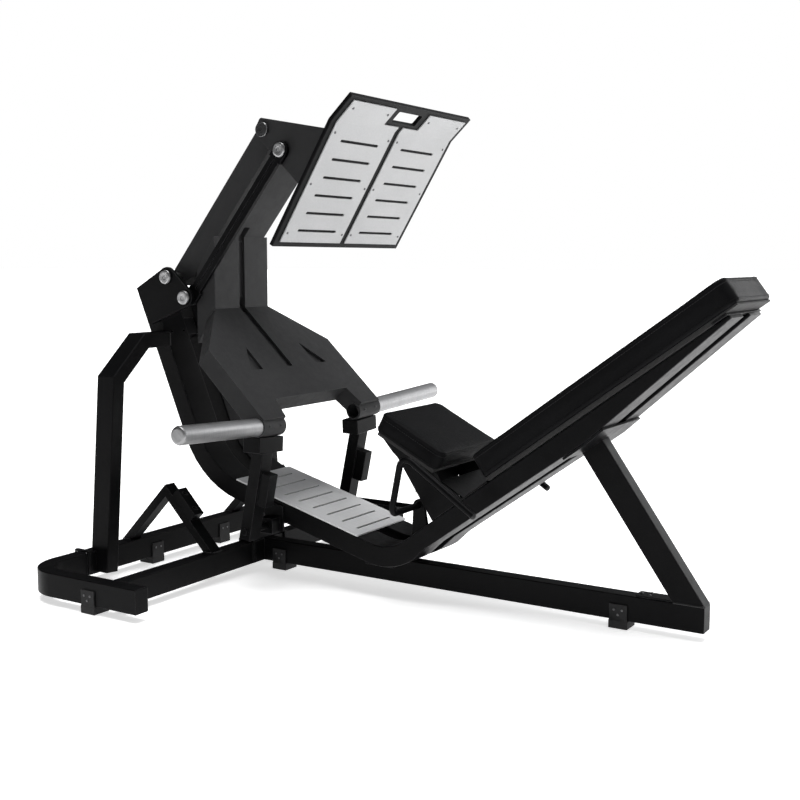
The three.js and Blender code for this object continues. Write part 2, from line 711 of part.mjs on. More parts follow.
// ---- supports between base and rails ----
function frameSupports() {
  const cradle = box(-196, -105, -RAIL_OUT + 12, RAIL_OUT - 12, BASE_Z1 + GAP, BASE_Z1 + 18);
  const bend = bar([RAIL_BEND_LOW, RAIL_BEND_SEAT, onBack(0, -RAIL_D / 2)], RAIL_D + 2 * GAP, [150]);
  const grooves = SIDES.map(([, side]) => sideSlab(bend, ...span(side, RAIL_IN - GAP, RAIL_OUT + GAP)));
  add('bend_cradle', join([cradle], grooves), frameBlack);
  const riser = planSlab([[-676, -60], [-634, -60], [-634, 60], [-676, 60]], BASE_Z1 + GAP, 260, 2);
  const shape = bar([RAIL_TOP, RAIL_BEND_LOW, RAIL_BEND_SEAT], RAIL_D + 2 * GAP, [270]);
  const clear = sideSlab(shape, -90, 90);
  const above = box(-700, -600, -90, 90, 262, 400);
  add('hub_riser', join([riser], [clear, above]), frameBlack);
  const high = bar([[-946, 700], [-968, 750]], 40);
  add('upright_tie', sideSlab(high, -RAIL_IN + GAP, RAIL_IN - GAP, 1), frameBlack);
}

// ---- seat and backrest ----
const SEAT_FRONT = [-116, 529];    // upper front edge of the seat pad
const SEAT_DIR = polar(1, -27);
const SEAT_UP = [-SEAT_DIR[1], SEAT_DIR[0]];
const SEAT_LENGTH = 212;
const BOARD_T = 11.5;
const BACK_LENGTH = 803;

function onSeat(along, above) {
  return plus(plus(SEAT_FRONT, SEAT_DIR, along), SEAT_UP, above);
}

// a pad with rounded corners in plan and softened edges, its lower face on z 0
function padSolid(length, width, height, corner, edge) {
  const shape = new THREE.Shape();
  const w = width / 2;
  shape.moveTo(corner, -w);
  shape.lineTo(length - corner, -w);
  shape.absarc(length - corner, -w + corner, corner, -Math.PI / 2, 0, false);
  shape.lineTo(length, w - corner);
  shape.absarc(length - corner, w - corner, corner, 0, Math.PI / 2, false);
  shape.lineTo(corner, w);
  shape.absarc(corner, w - corner, corner, Math.PI / 2, Math.PI, false);
  shape.lineTo(0, -w + corner);
  shape.absarc(corner, -w + corner, corner, Math.PI, Math.PI * 1.5, false);
  const options = { depth: height - 2 * edge, steps: 1, curveSegments: 6 };
  Object.assign(options, { bevelThickness: edge, bevelSize: edge, bevelOffset: -edge, bevelSegments: 3 });
  const geometry = new THREE.ExtrudeGeometry(shape, options);
  geometry.translate(0, 0, edge);
  return geometry;
}

function seat() {
  const pad = padSolid(SEAT_LENGTH, 2 * PAD_HALF, PAD_T - BOARD_T - GAP, 22, 9);
  add('seat_pad', layOn(pad, onSeat(0, -PAD_T + BOARD_T + GAP), SEAT_DIR), padBlack);
  const board = box(8, SEAT_LENGTH - 8, -PAD_HALF + 10, PAD_HALF - 10, 0, BOARD_T);
  add('seat_board', layOn(board, onSeat(0, -PAD_T), SEAT_DIR), boardBlack);
  const low = -PAD_T - GAP;
  const outlineXZ = [
    onSeat(10, low),
    [-100, 420],
    [-82, 404],
    onBack(-209, GAP),
    onBack(-95, GAP),
    [48, 351],
    onSeat(SEAT_LENGTH - 10, low),
  ];
  for (const [name, side] of SIDES) {
    add(`seat_panel_${name}`, sideSlab(outlineXZ, ...span(side, RAIL_OUT - 10, RAIL_OUT), 1), frameBlack);
  }
  const bridge = sideSlab(backStrip(-94, -4, GAP, 5), -RAIL_OUT, RAIL_OUT, 0.8);
  const web = sideSlab(bar([[50, 350], [118.5, 311.5]], 4), GAP - RAIL_OUT + 10, RAIL_OUT - 10 - GAP);
  add('seat_bridge_plate', join([bridge, web]), frameBlack);
  add('seat_cross_plate', box(-32, -28, GAP - RAIL_OUT + 10, RAIL_OUT - 10 - GAP, 312, 404), frameBlack);
}

function backrest() {
  const board = box(8, BACK_LENGTH - 8, -PAD_HALF + 10, PAD_HALF - 10, 0, BOARD_T);
  const lift = 6 + GAP;
  const boardLow = 2 * GAP;
  const notch = box(HEAD_AT - 41, BACK_LENGTH, -145, 145, -1, lift - boardLow + GAP);
  const raised = join([board], [notch]);
  add('backrest_board', layOn(raised, onBack(0, boardLow), BACK_DIR), boardBlack);
  const pad = padSolid(BACK_LENGTH, 2 * PAD_HALF, PAD_T, 26, 9);
  add('backrest_pad', layOn(pad, onBack(0, boardLow + BOARD_T + GAP), BACK_DIR), padBlack);
}

// ---- safety stops ----
function stops() {
  const lean = polar(1, 90 - STOP_LEAN);
  const ahead = [lean[1], -lean[0]];
  const [px, pz] = STOP_PIVOT;
  for (const [name, side] of SIDES) {
    const [a0, a1] = span(side, RAIL_OUT + GAP, 170);
    const arm = box(px - 23, px + 23, a0, a1, pz - 22, pz + 22);
    const rootSide = [[px - 34, 152], [px + 34, 152], [px + 34, 226], [px - 34, 240]];
    const root = sideSlab(rootSide, ...span(side, RAIL_OUT + GAP, RAIL_OUT + 7));
    const bore = shaft(px, pz, a0 - 2, a1 + 2, STOP_SHAFT_R + PIN_PLAY, 0.5);
    add(`stop_arm_${name}`, join([arm, root], [bore]), frameBlack);

    const [y0, y1] = span(side, STOP_Y - 24, STOP_Y + 24);
    const post = sideSlab(bar([plus(STOP_PIVOT, lean, -24), plus(STOP_PIVOT, lean, 260)], 38), y0, y1, 2);
    const top = box(-700, -300, y0 - 1, y1 + 1, 402, 600);
    const eye = shaft(px, pz, y0 - 2, y1 + 2, STOP_SHAFT_R + GAP, 0.5);
    const latch = roundedBox(36, 36, 96, 2, 1);
    const at = plus(plus(STOP_PIVOT, lean, 134), ahead, 19 + 15);
    latch.rotateY(THREE.MathUtils.degToRad(STOP_LEAN));
    latch.translate(at[0], side * STOP_Y, at[1]);
    add(`stop_post_${name}`, join([post, latch], [top, eye]), frameBlack);

    const head = roundedBox(58, 108, 44, 2.5, 2);
    head.rotateX(THREE.MathUtils.degToRad(side * 3.66));
    head.translate(-456, side * STOP_Y, 426.4);
    const bumper = new THREE.CylinderGeometry(16, 18, 13, 24);
    bumper.rotateZ(Math.PI / 2);
    bumper.translate(-486, side * STOP_Y, 426.4);
    add(`stop_head_${name}`, join([head, bumper]), frameBlack);
  }
}

// ---- release handles and their rod ----
class BentRod extends THREE.Curve {
  constructor(points) {
    super();
    this.points = points;
  }

  getPoint(t) {
    const last = this.points.length - 1;
    const place = Math.min(last - 1, Math.floor(t * last + 1e-9));
    return this.points[place].clone().lerp(this.points[place + 1], t * last - place);
  }

  getPointAt(u) {
    return this.getPoint(u);
  }

  getTangentAt(u) {
    const last = this.points.length - 1;
    const i = Math.round(u * last);
    const before = this.points[Math.max(0, i - 1)];
    const after = this.points[Math.min(last, i + 1)];
    return after.clone().sub(before).normalize();
  }
}

// corner points with every inner corner rounded to a radius
function roundedPath(corners, radius, steps = 6) {
  const points = [corners[0].clone()];
  for (let i = 1; i < corners.length - 1; i += 1) {
    const into = corners[i].clone().sub(corners[i - 1]).normalize();
    const out = corners[i + 1].clone().sub(corners[i]).normalize();
    const turn = into.angleTo(out);
    const reach = radius * Math.tan(turn / 2);
    const start = corners[i].clone().addScaledVector(into, -reach);
    const inward = out.clone().addScaledVector(into, -out.dot(into)).normalize();
    const centre = start.clone().addScaledVector(inward, radius);
    for (let k = 0; k <= steps; k += 1) {
      const angle = (turn * k) / steps;
      const spoke = inward.clone().multiplyScalar(-Math.cos(angle)).addScaledVector(into, Math.sin(angle));
      points.push(centre.clone().addScaledVector(spoke, radius));
    }
  }
  points.push(corners[corners.length - 1].clone());
  return points;
}

function releaseGear() {
  const [sx, sz] = RELEASE_SHAFT;
  const half = [[204.7, 292.6], [-9.5, 435.4], [sx, sz]];
  const corners = [
    ...half.map(([x, z]) => new THREE.Vector3(x, -GRIP_Y, z)),
    ...half.map(([x, z]) => new THREE.Vector3(x, GRIP_Y, z)).reverse(),
  ];
  const path = roundedPath(corners, 24);
  const round = new THREE.Shape();
  round.absarc(0, 0, RELEASE_R, 0, Math.PI * 2, false);
  const bentBar = new THREE.ExtrudeGeometry(round, {
    steps: path.length - 1,
    curveSegments: 8,
    extrudePath: new BentRod(path),
    bevelEnabled: false,
  });
  for (const [name, side] of SIDES) {
    const lug = convexOutline([
      onBack(-322, GAP), onBack(-262, GAP),
      ...arcPoints(RELEASE_SHAFT, 17, [1, 0], [0, 1]), ...arcPoints(RELEASE_SHAFT, 17, [-1, 0], [0, -1]),
    ]);
    const [y0, y1] = span(side, 70, 82);
    const bore = shaft(sx, sz, y0 - 2, y1 + 2, RELEASE_R + PIN_PLAY, 0.5);
    add(`handle_lug_${name}`, join([sideSlab(lug, y0, y1, 1)], [bore]), frameBlack);
  }

  const handlePin = [sx, sz - CRANK_LENGTH];
  const stopPin = plus(STOP_PIVOT, [0, CRANK_LENGTH]);
  add('release_handle', join([bentBar, ...crank(RELEASE_SHAFT, handlePin, RELEASE_R)]), frameBlack);
  const stopShaft = shaft(...STOP_PIVOT, -STOP_Y - 30, STOP_Y + 30, STOP_SHAFT_R, 1.5);
  add('stop_shaft', join([stopShaft, ...crank(STOP_PIVOT, stopPin, STOP_SHAFT_R)]), frameBlack);
  const rodLine = [stopPin, plus(stopPin, [37, -16]), plus(handlePin, [-67, -32]), handlePin];
  const rod = sideSlab(bar(rodLine, 14, [20, 20]), 184, 191, 1);
  const eyes = [stopPin, handlePin].map(([x, z]) => shaft(x, z, 184, 191, 12, 1, 24));
  const eye = shaft(...stopPin, 183, 192, 5 + PIN_PLAY, 0.3, 24);
  const slotR = 5 + PIN_PLAY;
  const slot = sideSlab(linkOutline(handlePin, plus(handlePin, [0, 4.6]), slotR, slotR - 0.01, 8), 183, 192);
  add('release_rod', join([rod, ...eyes], [eye, slot]), frameBlack);
}

// an arm welded to a shaft, carrying a pin for the rod
function crank(centre, pin, shaftRadius) {
  const plate = sideSlab(linkOutline(centre, pin, shaftRadius + 8, 10, 8), 175, 182, 1);
  const stud = shaft(pin[0], pin[1], 180, 195, 5, 1, 24);
  return [plate, stud];
}

frameSupports();
seat();
backrest();
stops();
releaseGear();

export default group;
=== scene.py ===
import json
import math

import bmesh
import bpy
from mathutils import Matrix, Vector
from mathutils.bvhtree import BVHTree


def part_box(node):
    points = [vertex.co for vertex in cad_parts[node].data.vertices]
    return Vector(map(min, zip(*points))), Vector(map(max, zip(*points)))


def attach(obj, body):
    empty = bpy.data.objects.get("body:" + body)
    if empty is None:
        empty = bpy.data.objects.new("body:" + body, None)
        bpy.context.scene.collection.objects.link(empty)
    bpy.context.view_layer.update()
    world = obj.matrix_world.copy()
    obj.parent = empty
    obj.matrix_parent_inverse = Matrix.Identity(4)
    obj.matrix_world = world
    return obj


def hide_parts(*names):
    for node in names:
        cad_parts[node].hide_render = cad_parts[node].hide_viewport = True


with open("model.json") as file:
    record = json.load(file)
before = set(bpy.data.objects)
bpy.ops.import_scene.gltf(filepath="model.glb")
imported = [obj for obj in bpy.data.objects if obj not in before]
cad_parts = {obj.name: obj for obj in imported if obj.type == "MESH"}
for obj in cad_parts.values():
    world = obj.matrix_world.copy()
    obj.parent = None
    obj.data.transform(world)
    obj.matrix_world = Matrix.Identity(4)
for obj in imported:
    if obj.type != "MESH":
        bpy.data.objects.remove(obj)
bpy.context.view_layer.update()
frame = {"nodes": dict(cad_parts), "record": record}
NODES = frame["nodes"]

# ---- driving positions, in metres, in the row frame ----
SHIFT = 0.095
PLATE_LOW = Vector((-0.362 + SHIFT, 0, 0.975))
PLATE_KINK = Vector((-0.166 + SHIFT, 0, 1.290))
PLATE_TOP = Vector((-0.101 + SHIFT, 0, 1.3495))
PANEL_OUT = 0.00335
BACK_FROM = Vector((0.196 + SHIFT, 0, 0.365))
BACK_ANGLE = math.radians(36.1)
SEAT_FRONT = Vector((-0.116 + SHIFT, 0, 0.529))
SEAT_ANGLE = math.radians(-27)
PAD_WIDTH = 0.300
BOARD_T = 0.0115
GAP = 0.00035
BACK_PAD = (0.803, PAD_WIDTH, 0.068)
SEAT_PAD = (0.212, PAD_WIDTH, 0.068 - BOARD_T - GAP)
FORK_TOP = Vector((-0.723 + SHIFT, 0, 0.795))
FORK_END = Vector((-0.411 + SHIFT, 0, 0.500))
BOSS_AT = (0.4235, 0.240, -0.0366)
HORN_TILT = math.radians(4.9)
PINS = {
    "main_pin": ("frame", (-0.881, 0.889), (0.17235, 0.17235)),
    "link_pin": ("frame", (-0.810, 0.828), (0.17235, 0.17235)),
    "carriage_pin": ("lever", (-0.536, 1.307), (0.13235, 0.13235)),
    "link_top_pin": ("foot_carriage", (-0.465, 1.246), (0.14435, 0.13035)),
}
CHEEK_FACE = -0.0273

# ---- cushions: corner radii, remesh size and how far the cloth simulation may move the cover ----
BACK_CORNER = 0.026
SEAT_CORNER = 0.022
VOXEL = 0.0045
PRESSURE = 3.0
CLOTH_STEPS = 20
TOP_DROP = 0.001
MOVE_CAP = 0.0035
MOVE_SHARE = 0.3
WAIST_IN = 0.0006

# ---- floor and camera ----
FLOOR_GLOW = 0.62
CAMERA_AT = (1.6916, -2.7874, 0.9345)
CAMERA_PITCH = math.radians(90 - 6.738)
CAMERA_TURN = math.radians(32.131)
SENSOR_WIDTH = 36
FOCAL_PIXELS = 1170.25
IMAGE_WIDTH = 800


def slope(angle):
    """Unit vectors along and out of a surface that rises at an angle towards +X."""
    along = Vector((math.cos(angle), 0, math.sin(angle)))
    return along, Vector((-along.z, 0, along.x))


def line_axes(a, b):
    along = (b - a).normalized()
    return along, Vector((-along.z, 0, along.x))


# ---- materials ----
def shader_node(mat, kind, inputs=None, **props):
    """A node with its properties set and its inputs given as numbers or as sockets to link."""
    node = mat.node_tree.nodes.new(kind)
    for key, value in props.items():
        setattr(node, key, value)
    for key, value in (inputs or {}).items():
        if isinstance(value, bpy.types.NodeSocket):
            mat.node_tree.links.new(value, node.inputs[key])
        else:
            node.inputs[key].default_value = value
    return node


def new_material(name, metallic=0.0, specular=0.5):
    mat = bpy.data.materials.new(name)
    mat.use_nodes = True
    bsdf = mat.node_tree.nodes["Principled BSDF"]
    bsdf.inputs["Metallic"].default_value = metallic
    bsdf.inputs["Specular IOR Level"].default_value = specular
    return mat, bsdf


def place_coords(mat, stretch=(1, 1, 1)):
    coords = shader_node(mat, "ShaderNodeTexCoord").outputs["Object"]
    if stretch == (1, 1, 1):
        return coords
    scaled = shader_node(mat, "ShaderNodeMapping", {"Vector": coords, "Scale": stretch})
    return scaled.outputs["Vector"]


def noise(mat, coords, scale, detail=3.0, rough=0.55):
    inputs = {"Vector": coords, "Scale": scale, "Detail": detail, "Roughness": rough}
    return shader_node(mat, "ShaderNodeTexNoise", inputs).outputs["Fac"]


def spread(mat, value, low_in, high_in, low, high):
    inputs = {"Value": value, "From Min": low_in, "From Max": high_in, "To Min": low, "To Max": high}
    return shader_node(mat, "ShaderNodeMapRange", inputs).outputs["Result"]


def blend_colours(mat, factor, a, b):
    node = shader_node(mat, "ShaderNodeMix", data_type="RGBA")
    for index, value in ((0, factor), (6, a), (7, b)):
        if isinstance(value, bpy.types.NodeSocket):
            mat.node_tree.links.new(value, node.inputs[index])
        else:
            node.inputs[index].default_value = value if index == 0 else (*value, 1)
    return node.outputs[2]


def product(mat, a, b):
    node = shader_node(mat, "ShaderNodeMath", operation="MULTIPLY")
    for index, value in enumerate((a, b)):
        if isinstance(value, bpy.types.NodeSocket):
            mat.node_tree.links.new(value, node.inputs[index])
        else:
            node.inputs[index].default_value = value
    return node.outputs[0]


def edge_mask(mat, radius):
    """1 along outer edges and corners, 0 on open faces."""
    soft = shader_node(mat, "ShaderNodeBevel", {"Radius": radius}, samples=4).outputs["Normal"]
    true = shader_node(mat, "ShaderNodeNewGeometry").outputs["Normal"]
    both = shader_node(mat, "ShaderNodeVectorMath", {0: soft, 1: true}, operation="DOT_PRODUCT")
    return spread(mat, both.outputs["Value"], 0.99, 0.90, 0.0, 1.0)


def bump(mat, height, strength, distance, normal=None):
    inputs = {"Height": height, "Strength": strength, "Distance": distance}
    if normal is not None:
        inputs["Normal"] = normal
    return shader_node(mat, "ShaderNodeBump", inputs).outputs["Normal"]


def wire(mat, bsdf, colour, rough, normal):
    links = mat.node_tree.links
    links.new(colour, bsdf.inputs["Base Color"])
    links.new(rough, bsdf.inputs["Roughness"])
    links.new(normal, bsdf.inputs["Normal"])
    return mat


def powder_coat(name, dark, light, fleck_rub_and_highlight_tone, rough, specular, texture=0.16):
    """Baked powder paint: fine orange peel, slow colour drift, light flecks, and lighter paint along every
    edge that is partly rubbed paint and partly a painted edge highlight.
    """
    mat, bsdf = new_material(name, specular=specular)
    coords = place_coords(mat)
    drift = noise(mat, coords, 5.0, 4.0)
    speck = noise(mat, coords, 950.0, 2.0)
    scuff = noise(mat, coords, 38.0, 6.0, 0.7)
    base = blend_colours(mat, spread(mat, drift, 0.35, 0.65, 0.0, 1.0), dark, light)
    base = blend_colours(mat, spread(mat, speck, 0.62, 0.8, 0.0, 0.35), base, fleck_rub_and_highlight_tone)
    # Lighter colour along all outer edges and corners: partly rubbed paint, partly a painted edge highlight.
    rubbed_and_highlight_mask = product(mat, edge_mask(mat, 0.0022), spread(mat, scuff, 0.38, 0.66, 0.25, 1.0))
    colour = blend_colours(mat, rubbed_and_highlight_mask, base, fleck_rub_and_highlight_tone)
    roughness = spread(mat, scuff, 0.3, 0.7, rough - 0.05, rough + 0.09)
    return wire(mat, bsdf, colour, roughness, bump(mat, speck, texture, 0.0006))


def turned_steel(name, tone, rough, stretch, scale=1.0):
    """Steel with lathe lines across the stretched axis, light smears and a few dark scratches."""
    mat, bsdf = new_material(name, metallic=1.0)
    lines = noise(mat, place_coords(mat, stretch), scale, 2.0, 0.6)
    smear = noise(mat, place_coords(mat), 22.0, 5.0, 0.65)
    dark = tuple(c * 0.72 for c in tone)
    colour = blend_colours(mat, spread(mat, lines, 0.3, 0.7, 0.0, 1.0), dark, tone)
    colour = blend_colours(mat, spread(mat, smear, 0.55, 0.8, 0.0, 0.35), colour, dark)
    roughness = spread(mat, smear, 0.3, 0.7, rough - 0.06, rough + 0.1)
    return wire(mat, bsdf, colour, roughness, bump(mat, lines, 0.12, 0.0004))


def brushed_sheet(name, tone, metallic, rough, stretch):
    mat, bsdf = new_material(name, metallic=metallic)
    lines = noise(mat, place_coords(mat, stretch), 1.0, 3.0, 0.6)
    patch = noise(mat, place_coords(mat), 9.0, 4.0)
    speck = noise(mat, place_coords(mat), 420.0, 2.0)
    low = tuple(c * 0.86 for c in tone)
    colour = blend_colours(mat, spread(mat, lines, 0.3, 0.7, 0.0, 1.0), low, tone)
    colour = blend_colours(mat, spread(mat, patch, 0.4, 0.75, 0.0, 0.25), colour, low)
    colour = blend_colours(mat, spread(mat, speck, 0.64, 0.8, 0.0, 0.3), colour, low)
    roughness = spread(mat, patch, 0.3, 0.7, rough - 0.05, rough + 0.1)
    return wire(mat, bsdf, colour, roughness, bump(mat, lines, 0.1, 0.0003))


def grain_leather(name, dark, light, rough):
    """Upholstery vinyl: pebbled cells with fine creases, painted shade darkening the hollows between the
    pebbles, and a slow sheen change.
    """
    mat, bsdf = new_material(name, specular=0.04)
    coords = place_coords(mat)
    bent = noise(mat, coords, 160.0, 2.0)
    cells = shader_node(mat, "ShaderNodeTexVoronoi", {"Vector": coords, "Scale": 620.0, "Randomness": 0.9},
                        feature="DISTANCE_TO_EDGE").outputs["Distance"]
    crease = noise(mat, place_coords(mat, (1.0, 1.0, 1.6)), 70.0, 5.0, 0.7)
    drift = noise(mat, coords, 7.0, 4.0)
    pebble = spread(mat, cells, 0.0, 0.28, 0.0, 1.0)
    colour = blend_colours(mat, spread(mat, drift, 0.3, 0.7, 0.0, 1.0), dark, light)
    # Painted shade: the colour is darkened in the hollows between the pebbles.
    painted_pit_shade = tuple(c * 0.4 for c in dark)
    colour = blend_colours(mat, spread(mat, pebble, 0.0, 0.5, 0.45, 0.0), colour, painted_pit_shade)
    height = product(mat, pebble, spread(mat, bent, 0.3, 0.7, 0.55, 1.0))
    roughness = spread(mat, drift, 0.3, 0.7, rough - 0.05, rough + 0.07)
    folds = bump(mat, crease, 0.10, 0.002)
    return wire(mat, bsdf, colour, roughness, bump(mat, height, 0.35, 0.0005, folds))


def plain_grain(name, dark, light, rough, scale, specular=0.4, strength=0.3, stretch=(1, 1, 1)):
    """Rubber, moulded plastic or board: one grain at one scale with mottling."""
    mat, bsdf = new_material(name, specular=specular)
    coords = place_coords(mat, stretch)
    grain = noise(mat, coords, scale, 3.0, 0.6)
    mottle = noise(mat, place_coords(mat), 30.0, 4.0)
    colour = blend_colours(mat, spread(mat, mottle, 0.35, 0.7, 0.0, 1.0), dark, light)
    roughness = spread(mat, mottle, 0.3, 0.7, rough - 0.06, rough + 0.08)
    return wire(mat, bsdf, colour, roughness, bump(mat, grain, strength, 0.0006))


M = {
    "frame": powder_coat(
        "frame_paint", (0.0022, 0.0022, 0.0025), (0.0036, 0.0036, 0.0040), (0.06, 0.06, 0.062), 0.36, 0.06),
    "lever": powder_coat(
        "lever_paint", (0.020, 0.020, 0.0208), (0.025, 0.025, 0.0258), (0.07, 0.07, 0.072), 0.56, 0.16),
    "horn": turned_steel("horn_steel", (0.34, 0.34, 0.345), 0.38, (6, 900, 6)),
    "pin": turned_steel("pin_steel", (0.40, 0.40, 0.405), 0.32, (700, 30, 700), 0.5),
    "zinc": turned_steel("bolt_zinc", (0.20, 0.20, 0.205), 0.4, (300, 300, 300)),
    "panel": brushed_sheet("panel_sheet", (0.46, 0.462, 0.466), 0.1, 0.55, (300, 300, 300)),
    "step": brushed_sheet("step_sheet", (0.78, 0.784, 0.79), 0.2, 0.42, (14, 520, 14)),
    "leather": grain_leather("pad_leather", (0.0045, 0.0045, 0.0049), (0.0065, 0.0065, 0.0071), 0.45),
    "thread": plain_grain(
        "seam_thread", (0.012, 0.012, 0.013), (0.02, 0.02, 0.021), 0.7, 900.0, strength=0.5),
    "board": plain_grain(
        "board_stain", (0.010, 0.010, 0.010), (0.017, 0.016, 0.016), 0.7, 1.0, stretch=(12, 260, 260)),
    "rubber": plain_grain("foot_rubber", (0.009, 0.009, 0.0095), (0.014, 0.014, 0.0145), 0.75, 700.0),
    "cap": plain_grain(
        "cap_plastic", (0.008, 0.008, 0.0085), (0.012, 0.012, 0.0125), 0.5, 800.0, strength=0.2),
    "weld": plain_grain(
        "weld_bead", (0.008, 0.008, 0.0085), (0.013, 0.013, 0.0135), 0.45, 500.0, strength=0.4),
}
FINISH = {
    "frame_black": "frame",
    "lever_grey": "lever",
    "satin_steel": "horn",
    "pin_steel": "pin",
    "panel_grey": "panel",
    "step_alloy": "step",
    "pad_black": "leather",
    "board_black": "board",
    "rubber": "rubber",
}
SLOT_OF = {s["node"]: s["material_slot"] for s in frame["record"]["subparts"]}


def smooth_cad(obj, width):
    """Joins the facets, rounds the hard edges a little and shades the round faces smoothly."""
    custom = obj.data.attributes.get("custom_normal")
    if custom is not None:
        obj.data.attributes.remove(custom)
    for name in ("sharp_edge", "sharp_face"):
        flag = obj.data.attributes.get(name)
        if flag is not None:
            obj.data.attributes.remove(flag)
    weld = obj.modifiers.new("weld", "WELD")
    weld.merge_threshold = 0.00002
    flat = obj.modifiers.new("flat", "DECIMATE")
    flat.decimate_type = "DISSOLVE"
    flat.angle_limit = math.radians(0.4)
    round_edges = obj.modifiers.new("edges", "BEVEL")
    round_edges.width = width
    round_edges.segments = 2
    round_edges.limit_method = "ANGLE"
    round_edges.angle_limit = math.radians(32)
    round_edges.miter_outer = "MITER_ARC"
    shade = obj.modifiers.new("shade", "WEIGHTED_NORMAL")
    shade.weight = 80
    obj.data.polygons.foreach_set("use_smooth", [True] * len(obj.data.polygons))


EDGE_WIDTH = {
    "step_plate": 0.0005,
    "foot_panel_left": 0.0004,
    "foot_panel_right": 0.0004,
    "release_rod": 0.0005,
}
for node_name, obj in NODES.items():
    obj.data.materials.clear()
    obj.data.materials.append(M[FINISH[SLOT_OF[node_name]]])
    smooth_cad(obj, EDGE_WIDTH.get(node_name, 0.0011))


# ---- mesh helpers ----
def link_object(name, mesh):
    obj = bpy.data.objects.new(name, mesh)
    bpy.context.scene.collection.objects.link(obj)
    return obj


def finish_piece(bm, name, body, materials, smooth=True, sharp=math.radians(38)):
    bmesh.ops.recalc_face_normals(bm, faces=bm.faces)
    mesh = bpy.data.meshes.new(name)
    bm.to_mesh(mesh)
    bm.free()
    for mat in materials:
        mesh.materials.append(mat)
    mesh.polygons.foreach_set("use_smooth", [smooth] * len(mesh.polygons))
    if smooth:
        mesh.set_sharp_from_angle(angle=sharp)
    obj = link_object(name, mesh)
    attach(obj, body)
    return obj


def frame_for(normal, towards=Vector((1, 0, 0))):
    """A rotation whose Z is the normal and whose X leans towards a direction."""
    z = normal.normalized()
    x = towards - z * towards.dot(z)
    if x.length < 1e-6:
        x = Vector((0, 0, 1)) - z * z.z
    x.normalize()
    y = z.cross(x)
    return Matrix((x, y, z)).transposed().to_4x4()


def revolve(bm, profile, place, segments=24, mat=0):
    """Turns (radius, height) points about local Z; a radius of 0 closes the end."""
    rings = []
    for r, h in profile:
        if r < 1e-9:
            rings.append([bm.verts.new(place @ Vector((0, 0, h)))])
            continue
        ring = []
        for k in range(segments):
            a = 2 * math.pi * k / segments
            ring.append(bm.verts.new(place @ Vector((r * math.cos(a), r * math.sin(a), h))))
        rings.append(ring)
    for low, high in zip(rings, rings[1:]):
        for k in range(segments):
            n = (k + 1) % segments
            if len(low) == 1:
                face = bm.faces.new((low[0], high[n], high[k]))
            elif len(high) == 1:
                face = bm.faces.new((low[k], low[n], high[0]))
            else:
                face = bm.faces.new((low[k], low[n], high[n], high[k]))
            face.material_index = mat


def socket_bolt(bm, at, normal, r, mat=0, washer=True):
    """Button-head bolt with a six-sided socket, standing on a washer."""
    place = Matrix.Translation(at) @ frame_for(normal)
    base = 0.0
    if washer:
        ring = [(0, 0), (r * 1.32, 0), (r * 1.32, r * 0.12), (r * 1.2, r * 0.2), (0, r * 0.2)]
        revolve(bm, ring, place, 24, mat)
        base = r * 0.2
    steps = 24
    head = [(r, 0.0), (r, 0.22), (0.93 * r, 0.42), (0.78 * r, 0.56), (0.58 * r, 0.62)]
    rings = []
    for radius, height in head:
        ring = []
        for k in range(steps):
            a = 2 * math.pi * k / steps
            point = Vector((radius * math.cos(a), radius * math.sin(a), base + height * r))
            ring.append(bm.verts.new(place @ point))
        rings.append(ring)
    for depth in (0.62, 0.2):
        ring = []
        for k in range(steps):
            a = 2 * math.pi * k / steps
            flat = math.cos(math.pi / 6) / math.cos((a % (math.pi / 3)) - math.pi / 6)
            radius = 0.46 * r * flat
            point = Vector((radius * math.cos(a), radius * math.sin(a), base + depth * r))
            ring.append(bm.verts.new(place @ point))
        rings.append(ring)
    floor_centre = bm.verts.new(place @ Vector((0, 0, base + 0.16 * r)))
    bottom_centre = bm.verts.new(place @ Vector((0, 0, base)))
    for low, high in zip(rings, rings[1:]):
        for k in range(steps):
            n = (k + 1) % steps
            bm.faces.new((low[k], low[n], high[n], high[k])).material_index = mat
    for k in range(steps):
        n = (k + 1) % steps
        bm.faces.new((rings[-1][k], rings[-1][n], floor_centre)).material_index = mat
        bm.faces.new((rings[0][n], rings[0][k], bottom_centre)).material_index = mat


def tube_along(bm, points, radius, segments=10, mat=0, closed=False, wobble=0.0):
    """A round tube through points; wobble swells it in even ripples, as a weld bead has."""
    count = len(points)
    rings = []
    previous = None
    for i, p in enumerate(points):
        before = points[(i - 1) % count] if closed else points[max(0, i - 1)]
        after = points[(i + 1) % count] if closed else points[min(count - 1, i + 1)]
        d = (after - before).normalized()
        if previous is None:
            side = d.cross(Vector((0, 0, 1)) if abs(d.z) < 0.9 else Vector((1, 0, 0))).normalized()
        else:
            side = (previous - d * previous.dot(d)).normalized()
        previous = side
        up = d.cross(side)
        r = radius * (1 + (wobble if i % 2 else -wobble))
        ring = []
        for k in range(segments):
            a = 2 * math.pi * k / segments
            ring.append(bm.verts.new(p + side * (r * math.cos(a)) + up * (r * math.sin(a))))
        rings.append(ring)
    pairs = list(zip(rings, rings[1:]))
    if closed:
        pairs.append((rings[-1], rings[0]))
    for low, high in pairs:
        for k in range(segments):
            n = (k + 1) % segments
            bm.faces.new((low[k], low[n], high[n], high[k])).material_index = mat
    if not closed:
        for ring, tip in ((rings[0], points[0]), (rings[-1], points[-1])):
            centre = bm.verts.new(tip)
            for k in range(segments):
                bm.faces.new((ring[k], ring[(k + 1) % segments], centre)).material_index = mat


